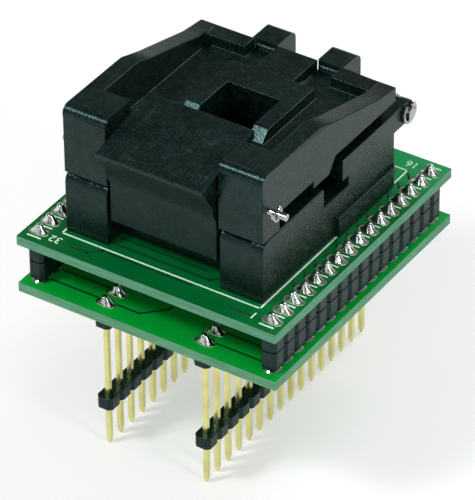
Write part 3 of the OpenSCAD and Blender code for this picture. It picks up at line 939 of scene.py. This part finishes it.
@dataclass
class Coil:
    """A wound torsion spring with two straight legs; sizes in mm."""

    axis_y: float
    axis_z: float
    radius: float
    wire: float
    first: float
    last: float
    front_end: float
    top_end: float
    spacing: float = 1.02
    steps_per_turn: int = 20

    def build(self, name: str, node: str, looks: Palette, body: Body, mirror: bool) -> bpy.types.Object:
        """Winds the spring from its upper leg to its lower one.

        Args:
            name: the piece's name.
            node: the CAD node that it stands for.
            looks: the finishes.
            body: what it rides on.
            mirror: whether it is the left one of a pair.

        Returns:
            The spring.
        """
        bm = bmesh.new()
        turns = max(1, round((self.last - self.first) / (self.wire * self.spacing))) + 0.5
        steps = int(turns * self.steps_per_turn)
        start = Vector((self.first, self.top_end, self.axis_z + self.radius)) * MM
        bmesh.ops.create_circle(bm, cap_ends=True, segments=10, radius=self.wire / 2 * MM,
                                matrix=Matrix.Translation(start) @ Matrix.Rotation(math.pi / 2, 4, "X"))
        edges = self.push(bm, list(bm.edges), Vector((0, self.axis_y - self.top_end, 0)))
        verts = list(dict.fromkeys(v for e in edges for v in e.verts))
        spun = bmesh.ops.spin(bm, geom=verts + edges, cent=Vector((0, self.axis_y, self.axis_z)) * MM,
                              axis=(1, 0, 0), dvec=((self.last - self.first) / steps * MM, 0, 0),
                              angle=-turns * math.tau, steps=steps, use_merge=False)
        last = [g for g in spun["geom_last"] if isinstance(g, bmesh.types.BMEdge)]
        last = self.push(bm, last, Vector((0, self.front_end - self.axis_y, 0)))
        bmesh.ops.contextual_create(bm, geom=last)
        bmesh.ops.remove_doubles(bm, verts=bm.verts, dist=0.0005 * MM)
        if mirror:
            bmesh.ops.scale(bm, vec=(-1, 1, 1), verts=bm.verts)
        bmesh.ops.recalc_face_normals(bm, faces=bm.faces)
        piece = settle(bm, name, looks.steel, body, smooth=60)
        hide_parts(node)
        return piece

    @staticmethod
    def push(bm: bmesh.types.BMesh, edges: list[Any], run: Vector) -> list[Any]:
        """Extrudes a ring of edges by run, in mm.

        Args:
            bm: the mesh.
            edges: the ring.
            run: how far.

        Returns:
            The new ring.
        """
        made = bmesh.ops.extrude_edge_only(bm, edges=edges)["geom"]
        verts = [g for g in made if isinstance(g, bmesh.types.BMVert)]
        bmesh.ops.translate(bm, vec=run * MM, verts=verts)
        moved = set(verts)
        return [g for g in made if isinstance(g, bmesh.types.BMEdge) and all(v in moved for v in g.verts)]


@dataclass
class OpenRing:
    """A retaining ring with three inward tabs and its mouth upwards; sizes in mm, angles in degrees."""

    axis_y: float
    axis_z: float
    outer: float
    inner: float
    thickness: float = 0.4
    mouth: float = 66.0
    tab: float = 34.0
    band: float = 0.42
    rounding: float = 0.045

    def build(self, name: str, node: str, looks: Palette, body: Body, places: Sequence[float]) -> bpy.types.Object:
        """Makes a ring at each place along the pin.

        Args:
            name: the piece's name.
            node: the CAD node that it stands for.
            looks: the finishes.
            body: what it rides on.
            places: where each ring's near face is along the pin.

        Returns:
            The rings.
        """
        bm = bmesh.new()
        inside = self.outer - (self.outer - self.inner) * self.band
        start, sweep = self.mouth / 2, 360 - self.mouth
        for x in places:
            self.arc(bm, x, inside, self.outer, start, sweep, 26)
            for first in (start, 180 - self.tab / 2, 360 - start - self.tab):
                self.arc(bm, x, self.inner, inside + 0.02, first, self.tab, 4)
        edges = [e for e in bm.edges if e.calc_face_angle(0) > math.radians(60)]
        bmesh.ops.bevel(bm, geom=edges, offset=self.rounding * MM, offset_type="OFFSET", segments=2, profile=0.5,
                        affect="EDGES", clamp_overlap=True, material=-1)
        piece = settle(bm, name, looks.steel, body, smooth=40)
        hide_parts(node)
        return piece

    def arc(self, bm: bmesh.types.BMesh, x: float, inside: float, outside: float, start: float, sweep: float,
            steps: int) -> None:
        """Spins one closed stretch of band about the pin.

        Args:
            bm: the mesh it joins.
            x: its near face along the pin.
            inside: inner radius.
            outside: outer radius.
            start: where it starts, from straight up.
            sweep: how far it goes.
            steps: how many steps.
        """
        turn = Matrix.Rotation(math.radians(start), 4, "X")
        place = Matrix.Translation(Vector((0, self.axis_y, self.axis_z)) * MM)
        corners = [bm.verts.new(place @ turn @ (Vector((x + dx, 0, r)) * MM))
                   for dx, r in ((0, inside), (self.thickness, inside), (self.thickness, outside), (0, outside))]
        cap = bm.faces.new(corners)
        ring = list(cap.edges)
        spun = bmesh.ops.spin(bm, geom=corners + ring, cent=place.translation, axis=(1, 0, 0),
                              angle=math.radians(sweep), steps=steps, use_merge=False)
        last = [g for g in spun["geom_last"] if isinstance(g, bmesh.types.BMEdge)]
        made = bmesh.ops.contextual_create(bm, geom=last)["faces"]
        shell = {cap, *made}
        grown = shell
        while grown:
            grown = {f for g in grown for e in g.edges for f in e.link_faces} - shell
            shell = shell | grown
        bmesh.ops.recalc_face_normals(bm, faces=list(shell))


@dataclass
class Hinge:
    """Hinge pin, clips and springs; sizes in mm."""

    axis_y: float = 17.9
    axis_z: float = 39.5
    coil_radius: float = 1.59
    wire: float = 0.42
    coil_first: float = 7.31
    coil_last: float = 12.95
    wall: float = 14.5
    lid_leg: float = 13.0
    ring_outer: float = 1.6
    ring_inner: float = 0.6
    ring_x: float = 15.0

    def build(self, looks: Palette) -> None:
        """Dresses pin and clips and winds both springs.

        Args:
            looks: the finishes.
        """
        turned("hinge_pin", looks.steel, Body.ROOT)
        ring = OpenRing(self.axis_y, self.axis_z, self.ring_outer, self.ring_inner)
        ring.build("hinge_rings", "hinge_clips", looks, Body.ROOT, (-self.ring_x - ring.thickness, self.ring_x))
        coil = Coil(self.axis_y, self.axis_z, self.coil_radius, self.wire, self.coil_first, self.coil_last,
                    self.wall, self.lid_leg)
        for side in Side:
            coil.build(f"hinge_coil_{side.tag}", f"hinge_spring_{side.tag}", looks, Body.ROOT, side is Side.LEFT)


@dataclass
class Lid:
    """The moulded lid; sizes in mm."""

    edge: float = 0.14

    def build(self, looks: Palette) -> None:
        """Rounds and dresses the lid.

        Args:
            looks: the finishes.
        """
        softened("lid", looks.housing, Body.LID, self.edge, shortest=0.5)


@dataclass
class Latch:
    """Finger latch, its pin, clip and spring; sizes in mm."""

    edge: float = 0.10
    axis_y: float = -15.8
    axis_z: float = 44.1
    ring_outer: float = 1.05
    ring_inner: float = 0.35
    ring_x: float = 16.2

    def build(self, looks: Palette) -> None:
        """Rounds and dresses the latch and its small parts.

        Args:
            looks: the finishes.
        """
        softened("latch", looks.finger, Body.LATCH, self.edge, shortest=0.4)
        turned("latch_pin", looks.steel, Body.LID)
        ring = OpenRing(self.axis_y, self.axis_z, self.ring_outer, self.ring_inner, mouth=80, tab=44)
        ring.build("latch_ring", "latch_clip", looks, Body.LID, (self.ring_x,))
        dressed("latch_spring", looks.steel)


# ---- studio ----


def toward(azimuth: float, elevation: float) -> Vector:
    """The direction at an azimuth from the front and an elevation, both in degrees.

    Args:
        azimuth: turn from the front to the right.
        elevation: angle above the floor.

    Returns:
        A vector of length 1.
    """
    a, e = math.radians(azimuth), math.radians(elevation)
    return Vector((math.sin(a) * math.cos(e), -math.cos(a) * math.cos(e), math.sin(e)))


@dataclass(frozen=True)
class Lamp:
    """A soft lamp; sizes in mm, angles in degrees."""

    name: str
    azimuth: float
    elevation: float
    reach: float
    size: tuple[float, float]
    level: float

    def hang(self, aim: Vector) -> None:
        """Hangs the lamp at its reach from the point that it lights.

        Args:
            aim: the point, in metres.
        """
        lamp = bpy.data.lights.new(self.name, "AREA")
        lamp.shape = "RECTANGLE"
        lamp.size, lamp.size_y = (side * MM for side in self.size)
        lamp.energy = self.level * (math.pi * self.reach * MM) ** 2
        holder = bpy.data.objects.new(self.name, lamp)
        bpy.context.scene.collection.objects.link(holder)
        holder.location = aim + toward(self.azimuth, self.elevation) * self.reach * MM
        holder.rotation_mode = "QUATERNION"
        holder.rotation_quaternion = (aim - holder.location).to_track_quat("-Z", "Y")


@dataclass
class Studio:
    """Floor, world, lamps and camera; sizes in mm, angles in degrees."""

    azimuth: float = 33.29
    elevation: float = 36.12
    roll: float = -0.48
    distance: float = 586.05
    across: float = 0.0208
    along: float = -18.151
    lens: float = 315.80
    sensor: float = 36.0
    floor: float = 4000.0
    floor_drop: float = 0.02
    sky: float = 0.38
    ceiling: float = 0.20
    horizon: float = 0.03
    overhead: float = 0.24
    paper_glow: float = 0.45
    aim_height: float = 30.0
    lamps: Sequence[Lamp] = (
        Lamp("key", -34, 50, 600, (110, 110), 0.50),
        Lamp("tall", 76, 24, 520, (110, 330), 0.34),
        Lamp("fill", 30, 36, 640, (320, 320), 0.15),
        Lamp("rim", 165, 46, 620, (260, 260), 0.36),
    )

    def build(self) -> None:
        """Sets everything up."""
        self.ground()
        self.world()
        for lamp in self.lamps:
            lamp.hang(Vector((0, 0, self.aim_height)) * MM)
        self.camera()

    def ground(self) -> None:
        """Lays the pale floor, which shows white but keeps the shadow."""
        bm = bmesh.new()
        bmesh.ops.create_grid(bm, x_segments=2, y_segments=2, size=self.floor / 2 * MM,
                              matrix=Matrix.Translation((0, 0, -self.floor_drop * MM)))
        mesh = bpy.data.meshes.new("floor")
        bm.to_mesh(mesh)
        bm.free()
        floor = bpy.data.objects.new("floor", mesh)
        bpy.context.scene.collection.objects.link(floor)
        s = Shader("floor_paper")
        s.set(Base_Color=(0.94, 0.94, 0.94), Roughness=0.9)
        glow = s.node("ShaderNodeEmission", {}, {"Color": (1.0, 1.0, 1.0)})
        lit = Wire(s, s.surface.outputs[0])
        blend = s.node("ShaderNodeMixShader", {}, {0: s.seen() * self.paper_glow, 1: lit, 2: glow})
        s.feed(s.out.inputs["Surface"], blend)
        mesh.materials.append(s.material)

    def world(self) -> None:
        """A studio room that is white at the horizon and greyer overhead, and lights the object evenly."""
        world = bpy.data.worlds.new("room")
        bpy.context.scene.world = world
        world.use_nodes = True
        n = Nodes(world.node_tree)
        place = n.node("ShaderNodeTexCoord", output="Generated")
        rise = n.node("ShaderNodeSeparateXYZ", {}, {0: place}, output="Z")
        white = {"Color": (1.0, 1.0, 1.0)}
        glow = rise.ramp(self.horizon, self.overhead, 1.0, self.ceiling)
        shown = n.node("ShaderNodeBackground", {}, white | {"Strength": glow})
        lit = n.node("ShaderNodeBackground", {}, white | {"Strength": self.sky})
        room = n.node("ShaderNodeMixShader", {}, {0: n.seen(), 1: lit, 2: shown})
        n.node("ShaderNodeOutputWorld", {}, {"Surface": room})

    def camera(self) -> None:
        """Places the camera, which looks past the object's middle by across and along."""
        back = toward(self.azimuth, self.elevation)
        right = Vector((0, 0, 1)).cross(back).normalized()
        up = back.cross(right)
        r = math.radians(self.roll)
        right, up = math.cos(r) * right + math.sin(r) * up, math.cos(r) * up - math.sin(r) * right
        eye = (back * self.distance - right * self.across - up * self.along) * MM
        lens = bpy.data.cameras.new("camera")
        lens.lens = self.lens
        lens.sensor_width = self.sensor
        lens.clip_start, lens.clip_end = 0.01, 20.0
        holder = bpy.data.objects.new("camera", lens)
        bpy.context.scene.collection.objects.link(holder)
        holder.matrix_world = Matrix.Translation(eye) @ Matrix((right, up, back)).transposed().to_4x4()
        bpy.context.scene.camera = holder


def main() -> None:
    """Builds every sub-assembly and the studio, and logs each sub-assembly as it is done."""
    logging.basicConfig(level=logging.INFO, format="%(name)s: %(message)s")
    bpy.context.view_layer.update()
    looks = Palette()
    for part in (Boards(), PinRows(), Socket(), Hinge(), Lid(), Latch()):
        part.build(looks)
        log.info("%s done", type(part).__name__)
    Studio().build()
    bpy.context.scene.view_settings.view_transform = "Standard"


if __name__ == "__main__":
    main()
